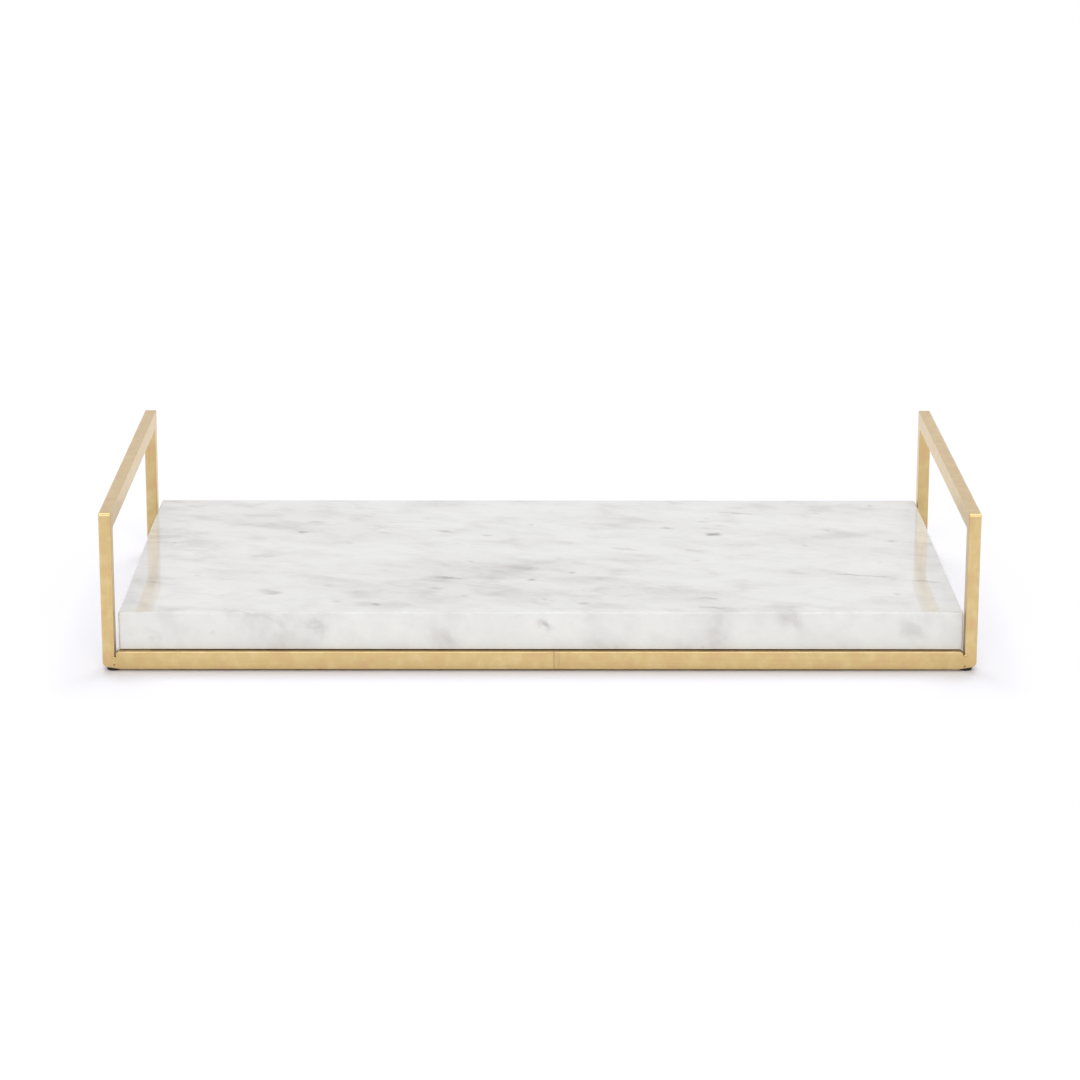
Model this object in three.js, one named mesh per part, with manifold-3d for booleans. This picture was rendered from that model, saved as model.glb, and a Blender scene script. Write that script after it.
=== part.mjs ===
// Dresser vanity tray: a loose marble slab in a welded frame of flat gold-plated bar.
// Millimetres. +X runs along the tray, +Y towards its back, +Z up. The origin is on the ground,
// under the middle of the tray.
import * as THREE from "three";
import { mergeVertices } from "three/addons/utils/BufferGeometryUtils.js";
import Module from "manifold-3d";

const wasm = await Module();
wasm.setup();

// ---- Driving dimensions ----------------------------------------------------------------------

const LENGTH = 457; // over the outer faces of the two handle hoops
const DEPTH = 241; // over the front and rear rails
const HEIGHT = 85.2; // ground to the top of the handles

// All of the frame is cut from one flat bar, a quarter by three eighths of an inch.
const BAR_THIN = 6.35;
const BAR_WIDE = 9.525;
const BAR_EDGE = 0.6; // rounding that polishing leaves on the bar's long edges
const CORNER_GRIND = 1.4; // larger rounding where a welded outer corner has been ground
const CURVE_STEPS = 3; // facets around each rounded edge

const MITRE_GAP = 0.4; // between two mitred bars, along the handle
const SPARE = 4; // how far a cutting outline reaches past what it cuts
const WELD_ROOT = 0.8; // gap that the weld fills, between a rail's end and its post
const BUTT_GAP = 0.3; // between a rail and what is welded square against it

const FOOT_RADIUS = 3.5;
const FOOT_THICK = 1.2;
const FOOT_INSET = 5.3; // foot's centre, in from the outer faces of the corner
const FOOT_SIDES = 28;
const GLUE_GAP = 0.05; // film under a foot or a pad

const SEAM_X = 8.7; // joint in the front rail, right of the middle

const CROSS_BAR_X = 150; // middle of each cross bar, either side of the tray's middle

const PAD_RADIUS = 3; // on a cross bar, under the slab
const PAD_THICK = 0.4;
const PAD_Y = 92;
const PAD_SIDES = 20;

const SLAB_LENGTH = 441.5;
const SLAB_DEPTH = 235.5;
const SLAB_THICK = 20;
const SLAB_EDGE = 0.8; // eased edge all round the slab's top and underside
const SLAB_CORNER = 1.2; // rounding of the slab's upright corners
const SLAB_RIGHT = 0.65; // the loose slab lies this far right of the frame's middle
const SLAB_BACK = 1.25; // and this far behind it

// ---- Worked-out places -----------------------------------------------------------------------

const hoopX = (LENGTH - BAR_THIN) / 2; // middle of a hoop's thickness
const railY = (DEPTH - BAR_THIN) / 2; // middle of a rail's thickness
const frameBase = FOOT_THICK + GLUE_GAP; // underside of the frame
const railTop = frameBase + BAR_WIDE;
const railEndX = LENGTH / 2 - BAR_THIN - WELD_ROOT;
const padBase = railTop + GLUE_GAP;
const slabBase = padBase + PAD_THICK + GLUE_GAP;

// ---- Finishes --------------------------------------------------------------------------------

const finish = (color, roughness, metalness) => () =>
  new THREE.MeshStandardMaterial({ color, roughness, metalness });
const satinGold = finish(0xdcc495, 0.38, 1);
const polishedMarble = finish(0xe9eae7, 0.12, 0);
const blackRubber = finish(0x1b1714, 0.8, 0);
const clearPad = finish(0xd9dcd8, 0.3, 0);

// ---- Shapes ----------------------------------------------------------------------------------

// A closed outline through corners [x, y, radius]; each corner with a radius is rounded.
function roundedOutline(corners) {
  const points = corners.map(([x, y]) => new THREE.Vector2(x, y));
  const shape = new THREE.Shape();
  corners.forEach(([, , radius = 0], i) => {
    const here = points[i];
    const towards = (other) =>
      here.clone().add(other.clone().sub(here).setLength(radius));
    const before = points.at(i - 1);
    const after = points[(i + 1) % points.length];
    const start = radius ? towards(before) : here;
    if (i === 0) shape.moveTo(start.x, start.y);
    else shape.lineTo(start.x, start.y);
    if (radius) {
      const end = towards(after);
      shape.quadraticCurveTo(here.x, here.y, end.x, end.y);
    }
  });
  return shape.closePath();
}

// An outline given a thickness, centred on its own plane, with every edge rounded.
function platedShape(corners, thickness, edge) {
  const geometry = new THREE.ExtrudeGeometry(roundedOutline(corners), {
    depth: thickness - 2 * edge,
    bevelThickness: edge,
    bevelSize: edge,
    bevelOffset: -edge,
    bevelSegments: CURVE_STEPS,
    curveSegments: CURVE_STEPS,
  });
  return geometry.translate(0, 0, edge - thickness / 2);
}

// A geometry as a manifold solid, with its shared vertices merged.
function solidOf(geometry) {
  const bare = geometry.clone();
  bare.deleteAttribute("normal");
  bare.deleteAttribute("uv");
  const merged = mergeVertices(bare, 1e-4);
  const vertProperties = new Float32Array(merged.getAttribute("position").array);
  const triVerts = new Uint32Array(merged.index.array);
  return new wasm.Manifold(new wasm.Mesh({ numProp: 3, vertProperties, triVerts }));
}

function geometryOf(solid) {
  const { vertProperties, triVerts } = solid.getMesh();
  const geometry = new THREE.BufferGeometry();
  geometry.setAttribute("position", new THREE.BufferAttribute(vertProperties, 3));
  geometry.setIndex(new THREE.BufferAttribute(triVerts, 1));
  return geometry;
}

// The part of a blank that lies inside a cutting outline.
function cutFrom(blank, corners) {
  const cutter = new THREE.ExtrudeGeometry(roundedOutline(corners), {
    depth: 2 * SPARE + BAR_WIDE,
    bevelEnabled: false,
  });
  cutter.translate(0, 0, -SPARE - BAR_WIDE / 2);
  return geometryOf(blank.intersect(solidOf(cutter)));
}

const rectangle = (left, right, low, high, radius = 0) => [
  [left, low, radius],
  [right, low, radius],
  [right, high, radius],
  [left, high, radius],
];

function named(name, geometry, material) {
  const mesh = new THREE.Mesh(geometry, material());
  mesh.name = name;
  return mesh;
}

// Outlines are drawn flat. A side view goes to the Y-Z plane, a front view to the X-Z plane.
const asSideView = (mesh) => mesh.rotateX(Math.PI / 2).rotateY(Math.PI / 2);
const asFrontView = (mesh) => mesh.rotateX(Math.PI / 2);

// ---- Sub-parts -------------------------------------------------------------------------------

// A hoop is one arch of bar with its outer corners ground round. Two mitre cuts part it into a
// front post, a rear post and the handle bar between them. Its outline is drawn in side view.
function hoop(side, x) {
  const outer = DEPTH / 2;
  const inner = outer - BAR_WIDE;
  const under = HEIGHT - BAR_WIDE;
  const arch = [
    [-outer, frameBase, CORNER_GRIND],
    [-inner, frameBase],
    [-inner, under],
    [inner, under],
    [inner, frameBase],
    [outer, frameBase, CORNER_GRIND],
    [outer, HEIGHT, CORNER_GRIND],
    [-outer, HEIGHT, CORNER_GRIND],
  ];
  const blank = solidOf(platedShape(arch, BAR_THIN, BAR_EDGE));

  const postCut = (end) => [
    [end * (outer + SPARE), frameBase - SPARE],
    [end * (inner - SPARE), frameBase - SPARE],
    [end * (inner - SPARE), under - SPARE],
    [end * (outer + SPARE), HEIGHT + SPARE],
  ];
  const handleCut = [
    [MITRE_GAP - outer - SPARE, HEIGHT + SPARE],
    [MITRE_GAP - inner + SPARE, under - SPARE],
    [inner - SPARE - MITRE_GAP, under - SPARE],
    [outer + SPARE - MITRE_GAP, HEIGHT + SPARE],
  ];

  const group = new THREE.Group();
  group.add(
    asSideView(named(`${side}_front_post`, cutFrom(blank, postCut(-1)), satinGold)),
    asSideView(named(`${side}_rear_post`, cutFrom(blank, postCut(1)), satinGold)),
    asSideView(named(`${side}_handle_bar`, cutFrom(blank, handleCut), satinGold)),
  );
  group.position.x = x;
  return group;
}

// A length of rail on edge, from x = start to x = end.
function rail(name, start, end, y) {
  const corners = rectangle(start, end, frameBase, railTop, CORNER_GRIND);
  const mesh = asFrontView(named(name, platedShape(corners, BAR_THIN, BAR_EDGE), satinGold));
  mesh.position.y = y;
  return mesh;
}

// A bar on edge from rail to rail, which carries the slab.
function crossBar(name, x) {
  const reach = railY - BAR_THIN / 2 - BUTT_GAP;
  const corners = rectangle(-reach, reach, frameBase, railTop);
  const mesh = asSideView(named(name, platedShape(corners, BAR_THIN, BAR_EDGE), satinGold));
  mesh.position.x = x;
  return mesh;
}

// A round disc standing on z = base.
function disc(name, radius, thick, sides, material, x, y, base) {
  const mesh = named(name, new THREE.CylinderGeometry(radius, radius, thick, sides), material);
  mesh.rotateX(Math.PI / 2);
  mesh.position.set(x, y, base + thick / 2);
  return mesh;
}

function marbleSlab() {
  const corners = rectangle(
    -SLAB_LENGTH / 2,
    SLAB_LENGTH / 2,
    -SLAB_DEPTH / 2,
    SLAB_DEPTH / 2,
    SLAB_CORNER,
  );
  const mesh = named("marble_slab", platedShape(corners, SLAB_THICK, SLAB_EDGE), polishedMarble);
  mesh.position.set(SLAB_RIGHT, SLAB_BACK, slabBase + SLAB_THICK / 2);
  return mesh;
}

// ---- Assembly --------------------------------------------------------------------------------

const tray = new THREE.Group();

tray.add(marbleSlab());
tray.add(rail("front_rail_left", -railEndX, SEAM_X - BUTT_GAP / 2, -railY));
tray.add(rail("front_rail_right", SEAM_X + BUTT_GAP / 2, railEndX, -railY));
tray.add(rail("rear_rail", -railEndX, railEndX, railY));

for (const [side, sign] of [["left", -1], ["right", 1]]) {
  tray.add(hoop(side, sign * hoopX));
  tray.add(crossBar(`${side}_cross_bar`, sign * CROSS_BAR_X));
  for (const [end, way] of [["front", -1], ["rear", 1]]) {
    const footX = sign * (LENGTH / 2 - FOOT_INSET);
    const footY = way * (DEPTH / 2 - FOOT_INSET);
    tray.add(
      disc(`${side}_${end}_foot`, FOOT_RADIUS, FOOT_THICK, FOOT_SIDES, blackRubber, footX, footY, 0),
      disc(
        `${side}_${end}_slab_pad`,
        PAD_RADIUS,
        PAD_THICK,
        PAD_SIDES,
        clearPad,
        sign * CROSS_BAR_X,
        way * PAD_Y,
        padBase,
      ),
    );
  }
}

export default tray;
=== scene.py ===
# %% [markdown]
# # A marble vanity tray in a gold bar frame
#
# The tray is a slab of polished white marble that lies loose in a welded frame of flat bar. The
# frame is plated pale gold and stands on four thin rubber feet, and an upright hoop at each end
# is the handle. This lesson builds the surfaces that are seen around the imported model, which holds
# the sizes: each piece is placed by the boxes of its nodes.

# %% Load the fixed frame
import math

import bmesh
import bpy
from mathutils import Matrix, Vector


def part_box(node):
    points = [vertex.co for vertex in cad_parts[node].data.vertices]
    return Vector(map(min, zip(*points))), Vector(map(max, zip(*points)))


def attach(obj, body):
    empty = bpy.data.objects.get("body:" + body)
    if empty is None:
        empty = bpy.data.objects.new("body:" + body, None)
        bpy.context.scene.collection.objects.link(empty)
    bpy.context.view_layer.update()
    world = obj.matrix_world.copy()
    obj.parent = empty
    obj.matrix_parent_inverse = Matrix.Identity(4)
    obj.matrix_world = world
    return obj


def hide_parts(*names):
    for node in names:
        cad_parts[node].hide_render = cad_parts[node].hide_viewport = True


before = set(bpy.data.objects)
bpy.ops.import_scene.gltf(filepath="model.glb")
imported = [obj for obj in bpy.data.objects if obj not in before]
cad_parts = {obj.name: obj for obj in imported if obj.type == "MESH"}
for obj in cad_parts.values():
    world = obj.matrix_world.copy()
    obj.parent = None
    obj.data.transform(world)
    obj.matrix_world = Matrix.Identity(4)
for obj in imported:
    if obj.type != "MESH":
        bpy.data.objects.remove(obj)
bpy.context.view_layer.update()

MM = 0.001

# %% [markdown]
# ## Sizes taken from the frame
#
# One post shows the section of the bar that the whole frame is cut from: its thin side faces the
# front and its wide side faces the end of the tray. The edge radii are not in the frame at full
# detail, so they are set here: polishing takes a little off every long edge, and the grinder takes
# more off the outer corners once they are welded.

# %% Measure the bar and the slab
post_low, post_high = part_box("left_front_post")
handle_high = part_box("left_handle_bar")[1]
rail_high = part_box("rear_rail")[1]
slab_low, slab_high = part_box("marble_slab")

BAR_THIN = post_high.x - post_low.x
BAR_WIDE = post_high.y - post_low.y
FRAME_BASE = post_low.z
FRAME_TOP = handle_high.z
FRAME_BACK = -post_low.y
FRAME_END = -post_low.x
RAIL_TOP = rail_high.z

EDGE_RADIUS = 0.4 * MM  # long edges, rounded by polishing
CORNER_RADIUS = 1.4 * MM  # outer corners of the hoops, rounded by grinding
BEAD_ROOM = 0.35 * MM  # left outside the bars' front and rear faces, so the beads fit in the box
BAR_FRONT = FRAME_BACK - BEAD_ROOM  # how far from the middle those faces are
print("bar section, mm:", round(BAR_THIN / MM, 2), "by", round(BAR_WIDE / MM, 2))

# %% [markdown]
# ## Helpers for node trees
#
# Colours are picked as sRGB hex values, as on a paint chart. Shaders work in linear light, so one
# function turns them. One more function adds a node, and serves shader trees and geometry trees
# alike: what feeds an input is a value, a socket or another node.

# %% Colour and node helpers
MATH = "ShaderNodeMath"
VECTOR = "ShaderNodeVectorMath"
XYZ = "ShaderNodeCombineXYZ"
SPLIT = "ShaderNodeSeparateXYZ"
RANGE = "ShaderNodeMapRange"
NOISE = "ShaderNodeTexNoise"
RAMP = "ShaderNodeValToRGB"
BUMP = "ShaderNodeBump"


def linear(hex_colour):
    """An sRGB hex colour as linear RGBA."""
    parts = [int(hex_colour[i : i + 2], 16) / 255 for i in (1, 3, 5)]
    curve = lambda c: c / 12.92 if c <= 0.04045 else ((c + 0.055) / 1.055) ** 2.4
    return (*map(curve, parts), 1.0)


def add(tree, kind, inputs=(), **settings):
    """Adds a node. Settings are its properties; inputs go by name, or in order."""
    made = tree.nodes.new(kind)
    for name, value in settings.items():
        setattr(made, name, value)
    for key, value in inputs.items() if isinstance(inputs, dict) else enumerate(inputs):
        source = value.outputs[0] if isinstance(value, bpy.types.Node) else value
        if isinstance(source, bpy.types.NodeSocket):
            tree.links.new(source, made.inputs[key])
        else:
            made.inputs[key].default_value = source
    return made


def paint_ramp(node, *stops):
    """Gives a colour ramp its (position, hex colour) stops."""
    elements = node.color_ramp.elements
    while len(elements) < len(stops):
        elements.new(0.5)
    for element, (position, _) in zip(elements, stops):
        element.position = position
    for element, (_, colour) in zip(elements, stops):
        element.color = linear(colour)


def new_material(name):
    """An empty material with a Principled BSDF joined to its output."""
    material = bpy.data.materials.new(name)
    material.use_nodes = True
    tree = material.node_tree
    tree.nodes.clear()
    shader = add(tree, "ShaderNodeBsdfPrincipled")
    add(tree, "ShaderNodeOutputMaterial", {"Surface": shader})
    return material, tree, shader


# %% [markdown]
# ## Gold plate on brushed bar
#
# The imported model takes the bars to be brass. They are brushed lengthwise, polished to a satin and
# then plated in a pale gold. The plating is one metal all over, so metallic is 1 and the colour is
# the metal's own, as seen head on. Seen at a slant it turns paler, which the shader works out by
# itself. What the hand leaves is in the pattern: fine lines along each bar, a slow waviness from
# the polishing wheel, blotches a shade pinker or yellower where the plating is thicker or thinner,
# and a slightly duller, darker stretch beside each weld. The lines have to run along every bar,
# whichever way the bar lies, so each bar carries an attribute named "grain": how far along it a
# point is from its middle, then its place across it. A second one, "half_length", says where the
# bar ends. A third, "pit_shade_and_burn", is only on the post welds: it is 1 in a pinhole, which
# is painted dark brown, partly for plating scorched there and partly as painted shade, since the
# pinhole is only a shallow dent.

# %% Satin gold plate
WELD_DULL = 9 * MM  # how far from its end a bar is dulled by the welding
DULL_SHARE = 0.3  # how much of the dull colour shows at the weld itself
STREAK_SHARE = 0.16  # how much the brush lines darken the colour
LINE_SCALE = (14, 1000, 1000)  # cells of the noise to a metre, along the bar and across it
WAVE_SCALE = (80, 220, 220)  # the same for the waves
BLOTCH_SCALE = 130  # the same for the blotches, in every direction


def satin_gold_plate():
    material, tree, shader = new_material("satin_gold_plate")
    grain = add(tree, "ShaderNodeAttribute", attribute_name="grain").outputs["Vector"]
    half = add(tree, "ShaderNodeAttribute", attribute_name="half_length").outputs["Fac"]
    pit_shade_and_burn = add(tree, "ShaderNodeAttribute", attribute_name="pit_shade_and_burn").outputs["Fac"]

    # Real brush lines are 0.05 mm apart. The widest of these are 1 mm apart, so that they show.
    lines_place = add(tree, VECTOR, (grain, LINE_SCALE), operation="MULTIPLY")
    lines = add(tree, NOISE, {"Vector": lines_place, "Scale": 1, "Detail": 3, "Roughness": 0.6})
    # The polishing wheel leaves shallow waves about 12 mm long.
    waves_place = add(tree, VECTOR, (grain, WAVE_SCALE), operation="MULTIPLY")
    waves = add(tree, NOISE, {"Vector": waves_place, "Scale": 1, "Detail": 2})
    spots = {"Vector": grain, "Scale": BLOTCH_SCALE, "Detail": 3, "Roughness": 0.6}
    blotches = add(tree, NOISE, spots)

    # How near the end of the bar, and so the weld: 0 along the bar, 1 at its end.
    along = add(tree, SPLIT, (grain,))
    from_middle = add(tree, MATH, (along,), operation="ABSOLUTE")
    to_end = add(tree, MATH, (half, from_middle), operation="SUBTRACT")
    near_weld = add(
        tree, RANGE, {"Value": to_end, "From Min": WELD_DULL, "From Max": 0},
        interpolation_type="SMOOTHSTEP",
    )
    dull = add(tree, MATH, (near_weld, DULL_SHARE), operation="MULTIPLY")

    tone = add(tree, RAMP, (blotches,))
    paint_ramp(tone, (0.3, "#DFBB8A"), (0.5, "#DFC489"), (0.7, "#E7CD97"))
    streaked = add(
        tree, "ShaderNodeMix", {0: STREAK_SHARE, 6: tone, 7: lines},
        data_type="RGBA", blend_type="MULTIPLY",
    )
    dulled = add(
        tree, "ShaderNodeMix", {0: dull, 6: streaked.outputs[2], 7: linear("#CFB27C")},
        data_type="RGBA",
    )
    # The pinhole's dark brown is partly scorched plating and partly painted shade for the depth of the
    # hole.
    burnt_and_shaded = add(
        tree, "ShaderNodeMix", {0: pit_shade_and_burn, 6: dulled.outputs[2], 7: linear("#4A2E12")},
        data_type="RGBA",
    )
    tree.links.new(burnt_and_shaded.outputs[2], shader.inputs["Base Color"])

    satin = add(tree, RANGE, {"Value": lines, "To Min": 0.25, "To Max": 0.37})
    rougher = add(tree, MATH, (dull, 0.2, satin), operation="MULTIPLY_ADD")
    tree.links.new(rougher.outputs[0], shader.inputs["Roughness"])

    wavy = add(tree, BUMP, {"Height": waves, "Strength": 0.18, "Distance": 0.08 * MM})
    brushed = add(
        tree, BUMP, {"Height": lines, "Normal": wavy, "Strength": 0.35, "Distance": 0.02 * MM}
    )
    tree.links.new(brushed.outputs[0], shader.inputs["Normal"])
    shader.inputs["Metallic"].default_value = 1.0
    return material


gold = satin_gold_plate()
print("made", gold.name)

# %% [markdown]
# ## Polished white marble
#
# The slab is a white marble of the Carrara kind, sawn and then polished with finer and finer grit.
# Marble is layered: its grey lies in thin sheets that slope through the block, and a saw cut shows
# each sheet as a streak. So the pattern is solid, worked out in the slab's own space. A mapping
# turns one axis square to the sheets, and its scale is the size of the marks, long in the sheet and
# short across it. Streaks then run over the edge and down the front at the slope that the sheets
# have. Each kind of mark only adds some darkness: clouds, smudges, streaks, and flecks of graphite
# and pyrite. The few marks that the eye picks out first are put where this slab has them, from a
# short list in mm, and a noise bends them all, so that none is a neat ellipse. One ramp turns the
# sum of the darkness into the colours of the stone.

# %% Where the boldest marks of the slab are
SHEET_TILT = math.radians(73)  # of the sheets' normal from upright
SHEET_TURN = math.radians(75)  # of the sheets' normal from the slab's long side
BEND = 7 * MM  # the noise shifts a mark by up to half of this, either way
TOP = slab_high.z / MM
FRONT = slab_low.y / MM

# Middle x, y, z, then length in the sheet and thickness across it, all in mm, then darkness.
BOLD_MARKS = (
    (-133, 46, TOP, 10, 7, 0.42),
    (-127, 68, TOP, 18, 9, 0.22),
    (-53, 48, TOP, 14, 6, 0.3),
    (-28, 39, TOP, 13, 6, 0.28),
    (-48, -50, TOP, 22, 7, 0.42),
    (-4, -54, TOP, 8, 7, 0.42),
    (-10, -29, TOP, 26, 22, 0.2),
    (-37, -16, TOP, 9, 6, 0.28),
    (-142, -80, TOP, 16, 10, 0.34),
    (-108, -96, TOP, 11, 7, 0.26),
    (-56, -70, TOP, 16, 9, 0.26),
    (-152, -5, TOP, 24, 14, 0.24),
    (99, 41, TOP, 12, 9, 0.62),
    (94, 69, TOP, 14, 7, 0.28),
    (73, 55, TOP, 14, 6, 0.32),
    (88, 5, TOP, 26, 14, 0.22),
    (50, 9, TOP, 30, 7, 0.24),
    (114, 89, TOP, 44, 4, 0.3),
    (175, -45, TOP, 50, 4, 0.34),
    (207, -56, TOP, 28, 6, 0.36),
    (198, 27, TOP, 9, 10, 0.26),
    (18, -39, TOP, 7, 5, 0.3),
    (90, -90, TOP, 16, 7, 0.28),
    (92, -108, TOP, 26, 7, 0.26),
    (-200, FRONT, 16, 30, 4, 0.14),
    (-117, FRONT, 23, 24, 4, 0.2),
    (-52, FRONT, 18, 36, 7, 0.18),
    (2, FRONT, 25, 12, 3, 0.4),
    (135, FRONT, 25, 28, 6, 0.14),
    (194, FRONT, 21, 28, 6, 0.2),
)
print(len(BOLD_MARKS), "bold marks")

# %% Marble
def polished_marble():
    material, tree, shader = new_material("polished_white_marble")
    stone = add(tree, "ShaderNodeTexCoord").outputs["Object"]

    def sheets(length, thickness, middle=(0, 0, 0), space=stone):
        """The stone's space about a middle, with marks of this size in mm in and across the sheets."""
        sizes = {
            "Vector": space,
            "Location": [value * MM for value in middle],
            "Rotation": (0, SHEET_TILT, SHEET_TURN),
            "Scale": (length * MM, length * MM, thickness * MM),
        }
        return add(tree, "ShaderNodeMapping", sizes, vector_type="TEXTURE")

    # Every kind of mark is a node whose value runs from 0 to 1, with the darkness that it adds.
    marks = []

    def cloudiness(space, detail, start, end, darkness):
        """A noise that adds darkness where its value is from start up to end."""
        noise = add(tree, NOISE, {"Vector": space, "Scale": 1, "Detail": detail, "Distortion": 0.4})
        spread = add(tree, RANGE, {"Value": noise, "From Min": start, "From Max": end})
        marks.append((spread, darkness))
        return spread

    cloudiness(sheets(110, 40), 3, 0.42, 0.7, 0.16)
    cloudiness(sheets(34, 18, (70, 0, 0)), 5, 0.47, 0.78, 0.25)
    cloudiness(sheets(14, 8, (140, 0, 0)), 4, 0.5, 0.8, 0.13)
    grain = cloudiness(sheets(5, 3, (20, 0, 0)), 3, 0.4, 0.75, 0.04)

    # A streak is the place where a noise passes its middle value, and it fades in and out.
    drift = add(tree, NOISE, {"Vector": sheets(110, 19, (33, 0, 0)), "Scale": 1, "Detail": 4})
    off_middle = add(tree, MATH, (drift, 0.5), operation="SUBTRACT")
    near_middle = add(tree, MATH, (off_middle,), operation="ABSOLUTE")
    line = add(tree, RANGE, {"Value": near_middle, "From Min": 0.02, "From Max": 0})
    fade = add(tree, NOISE, {"Vector": sheets(60, 40, (9, 0, 0)), "Scale": 1, "Detail": 2})
    shown = add(tree, RANGE, {"Value": fade, "From Min": 0.54, "From Max": 0.72})
    marks.append((add(tree, MATH, (line, shown), operation="MULTIPLY"), 0.16))

    # The space of the flecks and the bold marks is bent by a noise about 7 mm across.
    bend = add(tree, NOISE, {"Vector": stone, "Scale": 150, "Detail": 4}).outputs["Color"]
    bend_by = add(tree, VECTOR, (bend, (0.5, 0.5, 0.5)), operation="SUBTRACT")
    bent = add(
        tree, VECTOR, (bend_by, (BEND, BEND, BEND), stone), operation="MULTIPLY_ADD"
    )

    # Small flecks: one to a cell, in the few cells whose random number is high.
    cells = add(tree, "ShaderNodeTexVoronoi", {"Vector": sheets(9, 7, (90, 0, 0), bent), "Scale": 1})
    number = add(tree, "ShaderNodeSeparateColor", (cells.outputs["Color"],))
    chosen = add(tree, RANGE, {"Value": number, "From Min": 0.91, "From Max": 1})
    reach = add(tree, MATH, (chosen, 0.42), operation="MULTIPLY")
    inside = add(tree, MATH, (reach, cells.outputs["Distance"]), operation="SUBTRACT")
    fleck = add(tree, RANGE, {"Value": inside, "From Min": 0, "From Max": 0.3})
    marks.append((fleck, 0.24))

    for x, y, z, length, thickness, darkness in BOLD_MARKS:
        place = sheets(length / 2, thickness / 2, (x, y, z), bent)
        distance = add(tree, VECTOR, (place,), operation="LENGTH").outputs["Value"]
        spot = add(
            tree, RANGE, {"Value": distance, "From Min": 1, "From Max": 0},
            interpolation_type="SMOOTHSTEP",
        )
        marks.append((spot, darkness))

    total = 0.0
    for mark, darkness in marks:
        total = add(tree, MATH, (mark, darkness, total), operation="MULTIPLY_ADD")
    tone = add(tree, RAMP, (total,))
    paint_ramp(
        tone,
        (0.0, "#E2E2DC"),
        (0.15, "#D9D8D3"),
        (0.35, "#C5C1BC"),
        (0.65, "#989089"),
        (1.0, "#5F5750"),
    )
    tree.links.new(tone.outputs[0], shader.inputs["Base Color"])

    # The polish is glassy. The underside is only sawn, so it is matt.
    facing = add(tree, "ShaderNodeNewGeometry").outputs["Normal"]
    up = add(tree, SPLIT, (facing,)).outputs[2]
    sawn = add(tree, RANGE, {"Value": up, "From Min": -0.6, "From Max": -0.9, "To Max": 0.5})
    polish = add(tree, MATH, (grain, 0.05, 0.035), operation="MULTIPLY_ADD")
    rough = add(tree, MATH, (polish, sawn), operation="ADD")
    tree.links.new(rough.outputs[0], shader.inputs["Roughness"])
    ripple = add(tree, NOISE, {"Vector": stone, "Scale": 60, "Detail": 2})
    bump = add(tree, BUMP, {"Height": ripple, "Strength": 0.1, "Distance": 0.02 * MM})
    tree.links.new(bump.outputs[0], shader.inputs["Normal"])
    shader.inputs["IOR"].default_value = 1.5
    return material


marble = polished_marble()
print("made", marble.name, "with", len(marble.node_tree.nodes), "nodes")

# %% [markdown]
# ## Rubber and silicone
#
# The feet are moulded black rubber: almost black, with the fine spark texture of the mould, so they
# hardly shine. The pads under the slab are clear silicone bumpers, soft edged and slightly cloudy.

# %% Feet and pad materials
def moulded_rubber():
    material, tree, shader = new_material("moulded_black_rubber")
    stuff = add(tree, "ShaderNodeTexCoord").outputs["Object"]
    texture = add(tree, NOISE, {"Vector": stuff, "Scale": 2500, "Detail": 2})
    tone = add(tree, RAMP, (texture,))
    paint_ramp(tone, (0, "#15120F"), (1, "#2A2520"))
    bump = add(tree, BUMP, {"Height": texture, "Strength": 0.5, "Distance": 0.03 * MM})
    tree.links.new(tone.outputs[0], shader.inputs["Base Color"])
    tree.links.new(bump.outputs[0], shader.inputs["Normal"])
    shader.inputs["Roughness"].default_value = 0.7
    return material


def clear_silicone():
    material, tree, shader = new_material("clear_silicone")
    stuff = add(tree, "ShaderNodeTexCoord").outputs["Object"]
    cloud = add(tree, NOISE, {"Vector": stuff, "Scale": 400, "Detail": 2})
    haze = add(tree, RANGE, {"Value": cloud, "To Min": 0.2, "To Max": 0.35})
    tree.links.new(haze.outputs[0], shader.inputs["Roughness"])
    shader.inputs["Base Color"].default_value = linear("#F2F4F2")
    shader.inputs["Transmission Weight"].default_value = 0.85
    shader.inputs["IOR"].default_value = 1.41
    return material


rubber = moulded_rubber()
silicone = clear_silicone()
print("made", rubber.name, "and", silicone.name)

# %% [markdown]
# ## How a bar is built
#
# Every bar and the slab are one flat outline with a thickness and rounded edges. The outline is
# drawn as points, with arcs where a corner is ground round, and mesh code makes it a prism. Its
# edges are then bevelled in passes, the widest first, so one bar can have a ground toe, soft long
# edges, and mitres left perfectly sharp where it meets the next bar. A Weighted Normal modifier
# keeps the flats looking flat right up to the rounding.

# %% Outline and prism helpers
SIDE_VIEW = lambda u, v, w: (w, u, v)
FRONT_VIEW = lambda u, v, w: (u, w, v)
PLAN_VIEW = lambda u, v, w: (u, v, w)
ARC_STEPS = 8
BEVEL_STEPS = 4
TINY = 0.01 * MM
ROUNDED_FROM = math.radians(30)  # an edge that turns by more than this can be rounded
SMOOTH_UP_TO = math.radians(35)  # an edge that turns by less than this is shaded smooth
GRAIN_SHIFT = 3.7  # times a bar's middle, so that two bars in different places differ


def arc(centre, radius, start, end, steps=ARC_STEPS):
    """Points of an arc from angle start to angle end, in degrees."""
    angles = [math.radians(start + (end - start) * i / steps) for i in range(steps + 1)]
    return [(centre[0] + radius * math.cos(a), centre[1] + radius * math.sin(a)) for a in angles]


def prism(outline, low, high, view):
    """A bmesh of the outline, from low to high across its plane."""
    solid = bmesh.new()
    rings = [[solid.verts.new(view(u, v, w)) for u, v in outline] for w in (low, high)]
    for ring in rings:
        solid.faces.new(ring)
    for i in range(len(outline)):
        solid.faces.new((rings[0][i - 1], rings[0][i], rings[1][i], rings[1][i - 1]))
    bmesh.ops.recalc_face_normals(solid, faces=solid.faces)
    return solid


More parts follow.
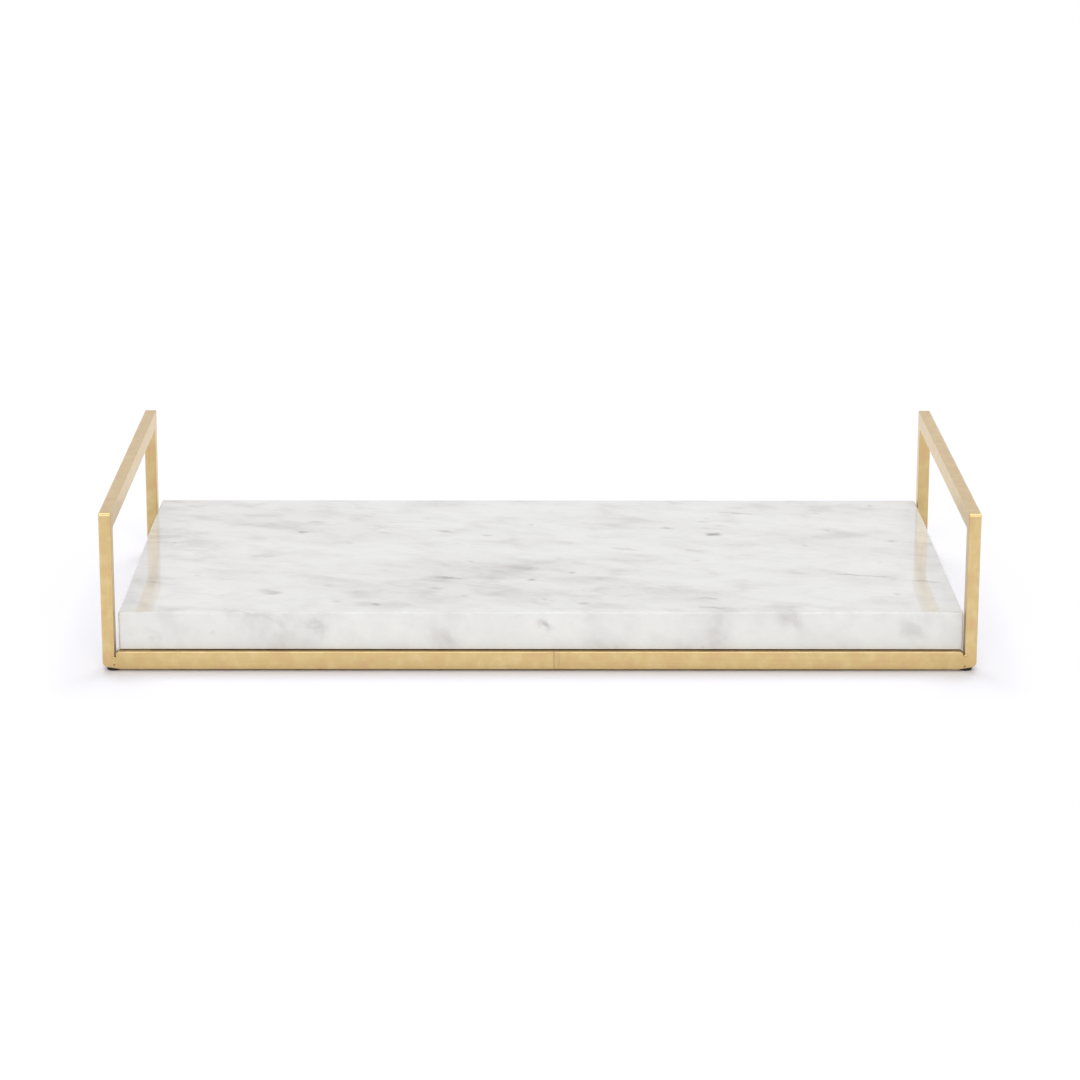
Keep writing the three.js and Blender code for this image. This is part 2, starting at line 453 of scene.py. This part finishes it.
def round_edges(solid, radius, wanted=lambda edge: True, steps=BEVEL_STEPS):
    """Rounds the edges that stand out sharply and that are wanted."""
    sharp = [
        edge
        for edge in solid.edges
        if edge.calc_face_angle_signed(0) > ROUNDED_FROM and wanted(edge)
    ]
    bmesh.ops.bevel(
        solid, geom=sharp, offset=radius, segments=steps, profile=0.5, affect="EDGES",
        clamp_overlap=True,
    )


def plain(piece):
    """Turns a piece with modifiers into a plain mesh."""
    bpy.context.view_layer.update()
    evaluated = piece.evaluated_get(bpy.context.evaluated_depsgraph_get())
    mesh = bpy.data.meshes.new_from_object(evaluated)
    piece.modifiers.clear()
    piece.data = mesh
    mesh.name = piece.name
    return piece


def solid_piece(name, solid, material):
    """A piece from a bmesh, shaded smooth over its roundings and sharp over the rest."""
    for face in solid.faces:
        face.smooth = True
    for edge in solid.edges:
        edge.smooth = abs(edge.calc_face_angle_signed(0)) < SMOOTH_UP_TO
    mesh = bpy.data.meshes.new(name)
    solid.to_mesh(mesh)
    solid.free()
    mesh.materials.append(material)
    piece = bpy.data.objects.new(name, mesh)
    bpy.context.scene.collection.objects.link(piece)
    normals = piece.modifiers.new("flat_faces", "WEIGHTED_NORMAL")
    normals.keep_sharp = True
    return plain(piece)


def add_grain(piece, axis):
    """Stores how far along the bar each vertex is, and the bar's half length, for the brush lines."""
    spots = [vertex.co for vertex in piece.data.vertices]
    low, high = (pick(spot[axis] for spot in spots) for pick in (min, max))
    middle = (low + high) / 2
    others = [i for i in range(3) if i != axis]
    shift = middle * GRAIN_SHIFT
    places = [(spot[axis] - middle, spot[others[0]] + shift, spot[others[1]]) for spot in spots]
    grain = piece.data.attributes.new("grain", "FLOAT_VECTOR", "POINT")
    grain.data.foreach_set("vector", [value for spot in places for value in spot])
    half = piece.data.attributes.new("half_length", "FLOAT", "POINT")
    half.data.foreach_set("value", [(high - low) / 2] * len(spots))
    return piece


pieces = []


def place(piece, body, slot, *nodes):
    """Gives a finished piece its body and hides the nodes that it stands for. The slot is not used."""
    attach(piece, body)
    if nodes:
        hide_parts(*nodes)
    pieces.append(piece.name)
    print(piece.name, "has", len(piece.data.polygons), "faces")


# %% [markdown]
# ## The handle hoops
#
# Each hoop is three bars, mitred at 45 degrees, welded and ground until the corner is one smooth
# curve. They could be one mesh, but they are three real pieces. The mitre runs through the middle
# of the corner's arc, so the post takes half of the arc and the handle bar takes the other half,
# and nothing is rounded along the mitre itself. Under each post the corner of the frame has been
# ground up at a slope, so the frame seems to turn in towards its feet.

# %% The ground toe
TOE_RADIUS = 2.2 * MM
TOE_REACH = 9 * MM  # how far in from the end of the tray the slope begins
TOE_SLOPE = 0.165


def ground_off(x):
    """How far above the frame's base the underside is at this x."""
    return max(0, abs(x) - FRAME_END + TOE_REACH) * TOE_SLOPE


print("ground off under the end of the tray, mm:", round(ground_off(FRAME_END) / MM, 2))

# %% Posts and handle bars
def off_mitre(edge):
    """Whether an edge of a hoop's bar lies outside the plane of its mitre."""
    beyond = BAR_FRONT - FRAME_TOP
    return any(abs(abs(vertex.co.y) - vertex.co.z - beyond) > TINY for vertex in edge.verts)


def hoop_post(side, end, way):
    name = f"{side}_{end}_post"
    low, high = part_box(name)
    inner = BAR_FRONT - BAR_WIDE
    right_way = lambda points: [(way * u, v) for u, v in points]
    heel = [(BAR_FRONT, FRAME_BASE)]
    shoulder = arc((BAR_FRONT - CORNER_RADIUS, FRAME_TOP - CORNER_RADIUS), CORNER_RADIUS, 0, 45)
    inside = [(inner, FRAME_TOP - BAR_WIDE), (inner, FRAME_BASE)]
    solid = prism(right_way(heel + shoulder + inside), low.x + TINY, high.x - TINY, SIDE_VIEW)
    for vertex in solid.verts:
        if vertex.co.z < FRAME_BASE + TINY:
            vertex.co.z += ground_off(vertex.co.x)
    toe_height = FRAME_BASE + ground_off(FRAME_END) + TINY
    at_toe = lambda vertex: abs(vertex.co.x) > FRAME_END - 2 * TINY and vertex.co.z < toe_height
    round_edges(solid, TOE_RADIUS, lambda edge: all(map(at_toe, edge.verts)), steps=6)
    round_edges(solid, EDGE_RADIUS, off_mitre)
    piece = solid_piece(name + "_bar", solid, gold)
    place(add_grain(piece, 2), "frame", "gold_bar", name)


def hoop_handle(side):
    name = f"{side}_handle_bar"
    low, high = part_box(name)
    centre = (BAR_FRONT - CORNER_RADIUS, FRAME_TOP - CORNER_RADIUS)
    back = arc(centre, CORNER_RADIUS, 45, 90)
    front = [(-u, v) for u, v in reversed(back)]
    inner = BAR_FRONT - BAR_WIDE
    under = [(-inner, FRAME_TOP - BAR_WIDE), (inner, FRAME_TOP - BAR_WIDE)]
    solid = prism(back + front + under, low.x + TINY, high.x - TINY, SIDE_VIEW)
    round_edges(solid, EDGE_RADIUS, off_mitre)
    piece = solid_piece(name + "_grip", solid, gold)
    place(add_grain(piece, 1), "frame", "gold_bar", name)


for side in ("left", "right"):
    hoop_post(side, "front", -1)
    hoop_post(side, "rear", 1)
    hoop_handle(side)

# %% [markdown]
# ## The rails
#
# The rails are the same bar on edge. At a post a rail's lower part runs up to the post, where the
# weld fuses them, and its upper corner is left round and a little short, which leaves a dark slot
# above the weld. The front rail is two lengths, joined right of the middle by a weld as deep as
# the bar and ground to its shape, so only two fine lines show, the left one deeper.

# %% Rails
RAIL_CORNER = 1.5 * MM
RAIL_SLOT = 0.6 * MM
SEAM_HALF = 1.25 * MM
SEAM_RADII = {1: 0.45 * MM, -1: 0.16 * MM}  # left and right of the seam weld
POST_FACE = -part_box("left_front_post")[1].x  # how far from the middle a post's inner face is
WELD_TOP = {-1: 7.7 * MM, 1: 8.8 * MM}  # the two sides differ, as they do when made by hand
seam_x = (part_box("front_rail_left")[1].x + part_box("front_rail_right")[0].x) / 2


def rail_end(way):
    """A rail's outline at its post, from the bottom up: ground toe, fused foot, slot, round corner."""
    end = POST_FACE - RAIL_SLOT
    toe = [(FRAME_END - TOE_REACH, FRAME_BASE), (POST_FACE, FRAME_BASE + ground_off(POST_FACE))]
    foot = [(POST_FACE, WELD_TOP[way]), (end, WELD_TOP[way])]
    corner = arc((end - RAIL_CORNER, RAIL_TOP - RAIL_CORNER), RAIL_CORNER, 0, 90)
    return [(way * u, v) for u, v in toe + foot + corner]


def seam_end(way):
    """A rail's square end at the seam, from the bottom up."""
    x = seam_x - way * SEAM_HALF
    return [(x, FRAME_BASE), (x, RAIL_TOP)]


def flat_rail(node, left_end, right_end):
    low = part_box(node)[0]
    outline = right_end + left_end[::-1]
    way = -1 if low.y < 0 else 1
    faces = sorted((way * BAR_FRONT, way * (FRAME_BACK - BAR_THIN)))
    solid = prism(outline, *faces, FRONT_VIEW)
    at = lambda edge, x: all(abs(vertex.co.x - x) < TINY for vertex in edge.verts)
    fused = lambda edge: at(edge, POST_FACE) or at(edge, -POST_FACE)
    seam = {side: seam_x - side * SEAM_HALF for side in SEAM_RADII}
    at_seam = lambda edge: any(at(edge, x) for x in seam.values())
    round_edges(solid, EDGE_RADIUS, lambda edge: not fused(edge) and not at_seam(edge))
    for side, radius in SEAM_RADII.items():
        round_edges(solid, radius, lambda edge: at(edge, seam[side]), steps=3)
    piece = solid_piece(node + "_bar", solid, gold)
    place(add_grain(piece, 0), "frame", "gold_bar", node)


flat_rail("front_rail_left", rail_end(-1), seam_end(1))
flat_rail("front_rail_right", seam_end(-1), rail_end(1))
flat_rail("rear_rail", rail_end(-1), rail_end(1))

# %% Cross bars
def cross_bar(side):
    name = f"{side}_cross_bar"
    low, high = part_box(name)
    reach = FRAME_BACK - BAR_THIN
    outline = [(-reach, FRAME_BASE), (reach, FRAME_BASE), (reach, RAIL_TOP), (-reach, RAIL_TOP)]
    solid = prism(outline, low.x, high.x, SIDE_VIEW)
    round_edges(solid, EDGE_RADIUS)
    piece = solid_piece(name + "_bar", solid, gold)
    place(add_grain(piece, 1), "frame", "gold_bar", name)


for side in ("left", "right"):
    cross_bar(side)

# %% [markdown]
# ## The welds
#
# Three kinds of weld hold the frame together. The seam weld of the front rail is as big as the bar,
# so it is made like a bar. At each post, a short upright weld is ground almost flush: its face
# stays a hair proud, its top ends in a small bead, and gas has left a pinhole in it. The pinhole is
# a dent no deeper than the weld stands proud, because the bars behind it are solid, so it is painted
# dark brown: partly scorched plating, partly painted shade that makes it look deeper. Where a cross
# bar meets a rail, out of sight, the bead is left as it was laid, with its ripples. The last two
# kinds repeat, so a Geometry Nodes tree makes each of them.

# %% Seam weld
PROUD = 0.02 * MM  # how far the ground seam weld still stands out from the bars
POST_PROUD = 0.1 * MM  # the same, where a post weld is only ground roughly


def seam_weld():
    outline = [
        (seam_x - SEAM_HALF, FRAME_BASE),
        (seam_x + SEAM_HALF, FRAME_BASE),
        (seam_x + SEAM_HALF, RAIL_TOP),
        (seam_x - SEAM_HALF, RAIL_TOP),
    ]
    solid = prism(outline, -BAR_FRONT - PROUD, BAR_THIN - FRAME_BACK, FRONT_VIEW)
    across_seam = lambda edge: abs(edge.verts[0].co.x - edge.verts[1].co.x) > TINY
    round_edges(solid, EDGE_RADIUS, across_seam)
    piece = solid_piece("rail_seam_weld", solid, gold)
    place(add_grain(piece, 2), "frame", "gold_bar")


seam_weld()

# %% A helper for pieces made by a tree
def new_tree(name, *numbers):
    """A Geometry Nodes tree with a mesh and a material going in and a mesh coming out."""
    tree = bpy.data.node_groups.new(name, "GeometryNodeTree")
    sockets = tree.interface
    sockets.new_socket("Geometry", in_out="INPUT", socket_type="NodeSocketGeometry")
    for number in numbers:
        sockets.new_socket(number, in_out="INPUT", socket_type="NodeSocketFloat")
    sockets.new_socket("Material", in_out="INPUT", socket_type="NodeSocketMaterial")
    sockets.new_socket("Geometry", in_out="OUTPUT", socket_type="NodeSocketGeometry")
    return tree, add(tree, "NodeGroupInput").outputs


def end_tree(tree, given, instances):
    """Ends a tree: real geometry, smooth, in the material that is given."""
    real = add(tree, "GeometryNodeRealizeInstances", (instances,))
    smooth = add(tree, "GeometryNodeSetShadeSmooth", {"Geometry": real})
    inputs = {"Geometry": smooth, "Material": given["Material"]}
    add(tree, "NodeGroupOutput", (add(tree, "GeometryNodeSetMaterial", inputs),))
    return tree


def with_tree(name, mesh, tree, inputs):
    """A plain piece made by a Geometry Nodes tree on a mesh."""
    piece = bpy.data.objects.new(name, mesh)
    bpy.context.scene.collection.objects.link(piece)
    modifier = piece.modifiers.new(tree.name, "NODES")
    modifier.node_group = tree
    identifiers = {
        item.name: item.identifier
        for item in tree.interface.items_tree
        if item.item_type == "SOCKET" and item.in_out == "INPUT"
    }
    for key, value in inputs.items():
        modifier[identifiers[key]] = value
    return plain(piece)


# %% Geometry Nodes tree for a ground weld
WELD_MESH = {"Vertices X": 25, "Vertices Y": 3, "Vertices Z": 73}  # fine, for a round pinhole
CROWN_POWER = 2.5  # the higher it is, the flatter the middle of the weld's face
BEAD_DEPTH = 0.8 * MM
BEAD_HEIGHT = 1.1 * MM


def ground_weld_tree():
    """A weld that stands on the origin, its face on y = 0 and facing -Y: a crowned block with a
    pinhole, and a bead on top."""
    tree, given = new_tree(
        "ground_weld", "Width", "Height", "Depth", "Crown", "Pit", "Pit Height", "Pit Radius",
        "Bead Width", "Bead Aside", "Bead Proud",
    )
    width, height, depth = (given[name] for name in ("Width", "Height", "Depth"))
    size = add(tree, XYZ, (width, depth, height))
    block = add(tree, "GeometryNodeMeshCube", {"Size": size, **WELD_MESH})
    half_depth = add(tree, MATH, (depth, 0.5), operation="MULTIPLY")
    half_height = add(tree, MATH, (height, 0.5), operation="MULTIPLY")
    stand = add(tree, XYZ, (0, half_depth, half_height))
    stood = add(
        tree, "GeometryNodeTransform", {"Geometry": block.outputs["Mesh"], "Translation": stand}
    )

    spot = add(tree, "GeometryNodeInputPosition")
    x, y, z = add(tree, SPLIT, (spot,)).outputs
    half_width = add(tree, MATH, (width, 0.5), operation="MULTIPLY")
    across = add(tree, MATH, (x, half_width), operation="DIVIDE")
    aside = add(tree, MATH, (across,), operation="ABSOLUTE")
    falls = add(tree, MATH, (aside, CROWN_POWER), operation="POWER")
    above_pit = add(tree, MATH, (z, given["Pit Height"]), operation="SUBTRACT")
    from_pit = add(tree, XYZ, (x, 0, above_pit))
    far = add(tree, VECTOR, (from_pit,), operation="LENGTH").outputs["Value"]
    pit = add(
        tree, RANGE, {"Value": far, "From Min": given["Pit Radius"], "From Max": 0},
        interpolation_type="SMOOTHSTEP",
    )
    dent = add(tree, MATH, (pit, given["Pit"]), operation="MULTIPLY")
    back = add(tree, MATH, (falls, given["Crown"], dent), operation="MULTIPLY_ADD")
    at_front = add(tree, MATH, (y, half_depth), operation="LESS_THAN")
    moves = add(tree, MATH, (back, at_front), operation="MULTIPLY")
    shift = add(tree, XYZ, (0, moves, 0))
    shaped = add(tree, "GeometryNodeSetPosition", {"Geometry": stood, "Offset": shift})
    # The pinhole mask, for its dark brown: partly scorched plating, partly painted shade.
    with_pit_shade = add(
        tree, "GeometryNodeStoreNamedAttribute", {"Geometry": shaped, "Name": "pit_shade_and_burn", "Value": pit}
    )

    ball = add(tree, "GeometryNodeMeshUVSphere", {"Segments": 32, "Rings": 16, "Radius": 0.5})
    bead_size = add(tree, XYZ, (given["Bead Width"], BEAD_DEPTH, BEAD_HEIGHT))
    behind = add(tree, MATH, (BEAD_DEPTH / 2, given["Bead Proud"]), operation="SUBTRACT")
    bead_spot = add(tree, XYZ, (given["Bead Aside"], behind, height))
    bead = add(
        tree, "GeometryNodeTransform",
        {"Geometry": ball.outputs["Mesh"], "Translation": bead_spot, "Scale": bead_size},
    )
    both = add(tree, "GeometryNodeJoinGeometry", (with_pit_shade,))
    tree.links.new(bead.outputs[0], both.inputs[0])
    return end_tree(tree, given, both)


# %% Post welds
weld_tree = ground_weld_tree()
WELD_BASE = FRAME_BASE + 0.9 * MM  # above the ground toe
WELD_OUT = 0.3 * MM  # how far a weld's middle is from the joint, over the post
BEAD_ASIDE = 0.4 * MM  # how far its bead is from its own middle, over the post
PIT_HEIGHT = {-1: 3.7 * MM, 1: 3.0 * MM}  # above the floor, left and right
BEAD_WIDTH = {-1: 1.9 * MM, 1: 2.5 * MM}


def post_weld(side, end):
    way = -1 if side == "left" else 1
    turn = 0 if end == "front" else math.pi
    outwards = way if end == "front" else -way  # half a turn swaps the weld's left and right
    sizes = {
        "Width": 2 * MM,
        "Height": WELD_TOP[way] - WELD_BASE,
        "Depth": 1.6 * MM,
        "Crown": 0.14 * MM,
        "Pit": 0.08 * MM,
        "Pit Height": PIT_HEIGHT[way] - WELD_BASE,
        "Pit Radius": 0.75 * MM,
        "Bead Width": BEAD_WIDTH[way],
        "Bead Aside": outwards * BEAD_ASIDE,
        "Bead Proud": BEAD_ROOM - POST_PROUD - TINY,
    }
    name = f"{side}_{end}_post_weld"
    piece = with_tree(name, bpy.data.meshes.new(name), weld_tree, {**sizes, "Material": gold})
    spot = Vector((way * (POST_FACE + WELD_OUT), 0, WELD_BASE))
    facing = Matrix.Rotation(turn, 4, "Z")
    front = facing @ Vector((0, -BAR_FRONT - POST_PROUD, 0))
    piece.data.transform(Matrix.Translation(spot + front) @ facing)
    place(add_grain(piece, 2), "frame", "gold_bar")


for side in ("left", "right"):
    for end in ("front", "rear"):
        post_weld(side, end)

# %% Geometry Nodes tree for a rippled bead
RIPPLE_STEPS = 6  # rings of the sweep to one ripple
RIPPLE_DEPTH = 0.18  # as a share of the bead's radius
TAPER = {"From Min": 0.38, "From Max": 0.5, "To Min": 1, "To Max": 0.35}  # from middle to end


def rippled_bead_tree():
    """A bead along every edge of the mesh given: a sweep whose thickness follows the ripples."""
    tree, given = new_tree("rippled_bead", "Radius", "Ripple Spacing")
    path = add(tree, "GeometryNodeMeshToCurve", (given["Geometry"],))
    step = add(tree, MATH, (given["Ripple Spacing"], RIPPLE_STEPS), operation="DIVIDE")
    fine = add(tree, "GeometryNodeResampleCurve", {"Curve": path, "Length": step}, mode="LENGTH")
    along = add(tree, "GeometryNodeSplineParameter").outputs
    ripples = add(tree, MATH, (along["Length"], given["Ripple Spacing"]), operation="DIVIDE")
    phase = add(tree, MATH, (ripples,), operation="FRACT")
    hump = add(tree, MATH, (phase, 2), operation="POWER")
    ripple = add(tree, MATH, (hump, RIPPLE_DEPTH, 1 - RIPPLE_DEPTH), operation="MULTIPLY_ADD")
    off_middle = add(tree, MATH, (along["Factor"], 0.5), operation="SUBTRACT")
    from_middle = add(tree, MATH, (off_middle,), operation="ABSOLUTE")
    taper = add(tree, RANGE, {"Value": from_middle, **TAPER}, interpolation_type="SMOOTHSTEP")
    thick = add(tree, MATH, (ripple, taper), operation="MULTIPLY")
    section = add(
        tree, "GeometryNodeCurvePrimitiveCircle", {"Resolution": 16, "Radius": given["Radius"]}
    )
    sweep = add(
        tree, "GeometryNodeCurveToMesh",
        {"Curve": fine, "Profile Curve": section, "Scale": thick, "Fill Caps": True},
    )
    return end_tree(tree, given, sweep)


# %% Beads where the cross bars meet the rails
BEAD_INSET = 0.8 * MM  # from a bar's upper and lower side to the end of its bead


def cross_bar_beads():
    reach = FRAME_BACK - BAR_THIN
    ends = []
    for side in ("left", "right"):
        low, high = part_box(f"{side}_cross_bar")
        for x in (low.x, high.x):
            for y in (-reach, reach):
                ends += [(x, y, FRAME_BASE + BEAD_INSET), (x, y, RAIL_TOP - BEAD_INSET)]
    edges = [(i, i + 1) for i in range(0, len(ends), 2)]
    mesh = bpy.data.meshes.new("cross_bar_beads")
    mesh.from_pydata(ends, edges, [])
    sizes = {"Radius": 1.5 * MM, "Ripple Spacing": 0.9 * MM, "Material": gold}
    piece = with_tree("cross_bar_beads", mesh, rippled_bead_tree(), sizes)
    place(add_grain(piece, 2), "frame", "gold_bar")


cross_bar_beads()

# %% [markdown]
# ## The slab
#
# The slab is sawn with square corners, then eased with a stone so that nothing chips: a millimetre
# off the upper edges, where hands and bottles meet them, and just the sharpness off the lower ones.
# The same prism does it, in plan view, with one bevel for each.

# %% Marble slab
SLAB_CORNER = 1.2 * MM
SLAB_TOP_EDGE = 1.0 * MM
SLAB_UNDER_EDGE = 0.12 * MM


def marble_slab():
    middle = (slab_low + slab_high) / 2
    reach = (slab_high - slab_low) / 2
    outline = []
    for i, (sign_x, sign_y) in enumerate(((1, 1), (-1, 1), (-1, -1), (1, -1))):
        centre = (
            middle.x + sign_x * (reach.x - SLAB_CORNER),
            middle.y + sign_y * (reach.y - SLAB_CORNER),
        )
        outline += arc(centre, SLAB_CORNER, 90 * i, 90 * (i + 1))
    solid = prism(outline, slab_low.z, slab_high.z, PLAN_VIEW)
    at = lambda edge, height: all(abs(vertex.co.z - height) < TINY for vertex in edge.verts)
    round_edges(solid, SLAB_TOP_EDGE, lambda edge: at(edge, slab_high.z), steps=6)
    round_edges(solid, SLAB_UNDER_EDGE, lambda edge: at(edge, slab_low.z), steps=3)
    piece = solid_piece("polished_slab", solid, marble)
    place(piece, "slab", "marble", "marble_slab")


marble_slab()

# %% [markdown]
# ## Feet and pads
#
# The feet and the pads are small moulded discs, so one Geometry Nodes tree makes both. It starts
# from a sphere and pushes each point outwards until the ball is a disc with a rounded rim: raising
# the distance from the axis and the height to a power below 1 does that. The disc is then set on
# the points of the mesh that the modifier sits on, one for each foot. A foot is pressed a little
# way up into the frame, so that no gap shows under the ground toe.

# %% Geometry Nodes tree for a moulded disc
def moulded_disc_tree():
    """A disc that stands on every point of the mesh given."""
    tree, given = new_tree("moulded_disc", "Radius", "Height", "Rim Power")
    ball = add(tree, "GeometryNodeMeshUVSphere", {"Segments": 40, "Rings": 20, "Radius": 1})
    spot = add(tree, "GeometryNodeInputPosition")
    flat = add(tree, VECTOR, (spot, (1, 1, 0)), operation="MULTIPLY")
    from_axis = add(tree, VECTOR, (flat,), operation="LENGTH").outputs["Value"]
    distance = add(tree, MATH, (from_axis, 1e-5), operation="MAXIMUM")
    less_one = add(tree, MATH, (given["Rim Power"], 1), operation="SUBTRACT")
    spread = add(tree, MATH, (distance, less_one), operation="POWER")
    wide = add(tree, MATH, (spread, given["Radius"]), operation="MULTIPLY")
    outwards = add(tree, VECTOR, {0: flat, "Scale": wide}, operation="SCALE")

    z = add(tree, SPLIT, (spot,)).outputs[2]
    up_or_down = add(tree, MATH, (z,), operation="SIGN")
    from_level = add(tree, MATH, (z,), operation="ABSOLUTE")
    rim = add(tree, MATH, (from_level, given["Rim Power"]), operation="POWER")
    signed = add(tree, MATH, (rim, up_or_down), operation="MULTIPLY")
    half = add(tree, MATH, (given["Height"], 0.5), operation="MULTIPLY")
    tall = add(tree, MATH, (signed, half, half), operation="MULTIPLY_ADD")
    upwards = add(tree, XYZ, (0, 0, tall))
    moved = add(tree, VECTOR, (outwards, upwards), operation="ADD")
    disc = add(
        tree, "GeometryNodeSetPosition", {"Geometry": ball.outputs["Mesh"], "Position": moved}
    )
    copies = add(
        tree, "GeometryNodeInstanceOnPoints", {"Points": given["Geometry"], "Instance": disc}
    )
    return end_tree(tree, given, copies)


def points_under(name, nodes):
    """A mesh of loose points, one under the middle of each node."""
    mesh = bpy.data.meshes.new(name)
    boxes = [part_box(node) for node in nodes]
    spots = [((low.x + high.x) / 2, (low.y + high.y) / 2, low.z) for low, high in boxes]
    mesh.from_pydata(spots, [], [])
    return mesh


disc_tree = moulded_disc_tree()
print("tree", disc_tree.name, "has", len(disc_tree.nodes), "nodes")

# %% Feet and pads
FOOT_PRESSED_IN = 0.35 * MM
corners = [f"{side}_{end}" for side in ("left", "right") for end in ("front", "rear")]
for name, ending, more, rim_power, material, slot in (
    ("rubber_feet", "_foot", FOOT_PRESSED_IN, 0.18, rubber, "rubber_foot"),
    ("silicone_pads", "_slab_pad", 0, 0.4, silicone, "clear_pad"),
):
    nodes = [corner + ending for corner in corners]
    low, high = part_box(nodes[0])
    sizes = {
        "Radius": (high.x - low.x) / 2,
        "Height": high.z - low.z + more,
        "Rim Power": rim_power,
        "Material": material,
    }
    made = with_tree(name, points_under(name, nodes), disc_tree, sizes)
    place(made, "frame", slot, *nodes)

# %% [markdown]
# ## Floor, light and camera
#
# The tray stands on a plain white floor under even studio light. The room is bright and slightly
# cool near the horizon, as white walls are, and dimmer overhead. The light is two suns, each with a
# source that looks about 40 degrees wide, as a large soft box does. One is above and behind the
# tray: it brightens the rounded upper edges and throws the short soft shadow in front. A weaker one
# in front, higher than the camera, lights the front of the slab and of the frame. The camera looks
# from a little above with a long lens, so the tray is hardly drawn in towards the back.

# %% Stage
FLOOR_REACH = 12  # metres, from the middle to each side
FLOOR_COLOUR = "#F9F9FD"
LAMP_DISTANCE = 2  # metres. Only a sun's direction matters to its light, not its distance
OVERHEAD_LIGHT = 1.34
OVERHEAD_FROM = (0, 0.42, 0.91)
OVERHEAD_WIDTH = 38
FRONT_LIGHT = 1.08
FRONT_FROM = (0, -0.8, 0.6)
FRONT_WIDTH = 42


def white_floor():
    size = FLOOR_REACH
    mesh = bpy.data.meshes.new("floor")
    mesh.from_pydata(
        [(-size, -size, 0), (size, -size, 0), (size, size, 0), (-size, size, 0)], [], [(0, 1, 2, 3)]
    )
    material, tree, shader = new_material("matt_white_floor")
    shader.inputs["Base Color"].default_value = linear(FLOOR_COLOUR)
    shader.inputs["Roughness"].default_value = 0.9
    mesh.materials.append(material)
    floor = bpy.data.objects.new("floor", mesh)
    bpy.context.scene.collection.objects.link(floor)


def bright_room():
    """A world that is bright at the horizon and dimmer above. Height is the sine of the angle up."""
    world = bpy.data.worlds.new("bright_room")
    bpy.context.scene.world = world
    world.use_nodes = True
    tree = world.node_tree
    direction = add(tree, "ShaderNodeTexCoord").outputs["Generated"]
    height = add(tree, SPLIT, (direction,)).outputs[2]
    walls = add(tree, RAMP, (height,))
    paint_ramp(walls, (0.26, "#F6F6FD"), (0.64, "#A4A4A6"))
    tree.links.new(walls.outputs[0], tree.nodes["Background"].inputs["Color"])


def soft_sun(name, direction, strength, width):
    """Light from one direction; width is how large its source looks, in degrees."""
    light = bpy.data.lights.new(name, "SUN")
    light.energy = strength
    light.angle = math.radians(width)
    lamp = bpy.data.objects.new(name, light)
    bpy.context.scene.collection.objects.link(lamp)
    lamp.location = Vector(direction).normalized() * LAMP_DISTANCE
    lamp.rotation_euler = Vector(direction).to_track_quat("Z", "Y").to_euler()


white_floor()
bright_room()
soft_sun("overhead_light", OVERHEAD_FROM, OVERHEAD_LIGHT, OVERHEAD_WIDTH)
soft_sun("front_light", FRONT_FROM, FRONT_LIGHT, FRONT_WIDTH)
bpy.context.scene.view_settings.view_transform = "Standard"

# %% Camera
CAMERA_YAW = math.radians(0.386)
CAMERA_PITCH = math.radians(15.06)
CAMERA_ROLL = math.radians(-0.137)
CAMERA_DISTANCE = 1.944  # metres
CAMERA_AIM = Vector((0.0007, 0, 0.03905))
CAMERA_LENS = 117.1  # mm, as is the sensor's width
CAMERA_SENSOR = 36

ahead = Vector(
    (
        math.sin(CAMERA_YAW) * math.cos(CAMERA_PITCH),
        math.cos(CAMERA_YAW) * math.cos(CAMERA_PITCH),
        -math.sin(CAMERA_PITCH),
    )
)
camera_data = bpy.data.cameras.new("camera")
camera_data.lens = CAMERA_LENS
camera_data.sensor_width = CAMERA_SENSOR
camera = bpy.data.objects.new("camera", camera_data)
bpy.context.scene.collection.objects.link(camera)
turn = ahead.to_track_quat("-Z", "Y").to_matrix().to_4x4() @ Matrix.Rotation(-CAMERA_ROLL, 4, "Z")
camera.matrix_world = Matrix.Translation(CAMERA_AIM - ahead * CAMERA_DISTANCE) @ turn
bpy.context.scene.camera = camera
print("camera at", [round(value, 3) for value in camera.location])

# %% [markdown]
# ## Sizes and finish
# The last cell prints how many pieces were made.

# %% Count the pieces
print(len(pieces), "pieces")
